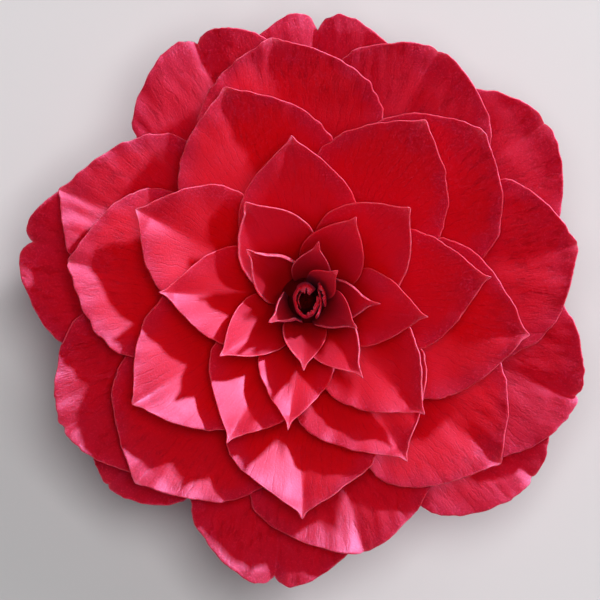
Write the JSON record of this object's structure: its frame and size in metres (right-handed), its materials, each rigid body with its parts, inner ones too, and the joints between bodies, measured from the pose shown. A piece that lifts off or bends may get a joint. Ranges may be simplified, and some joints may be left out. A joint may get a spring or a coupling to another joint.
{
  "type": "camellia flower",
  "caption": "Formal double camellia bloom, as picked: petals overlapping in a spiral round a rolled heart, over a calyx of bracts and sepals with a short stalk.",
  "frame": {"origin": "under the middle of the bloom's bounding box, on the surface that it lies on", "axes": "+Z along the bloom's axis, from the calyx to the heart; +Y towards the top edge of the picture and +X towards its right edge"},
  "size_m": [0.0984, 0.0992, 0.0379],
  "materials": {
    "petal": "velvety crimson petal with paler rose margins and fine veins",
    "calyx": "leathery olive green bracts and sepals, silky hairs, brown-pink margins",
    "stalk": "green-brown broken stalk"
  },
  "bodies": {
    "root": {"petals": "petal", "calyx": "calyx", "stalk": "stalk"}
  },
  "joints": []
}
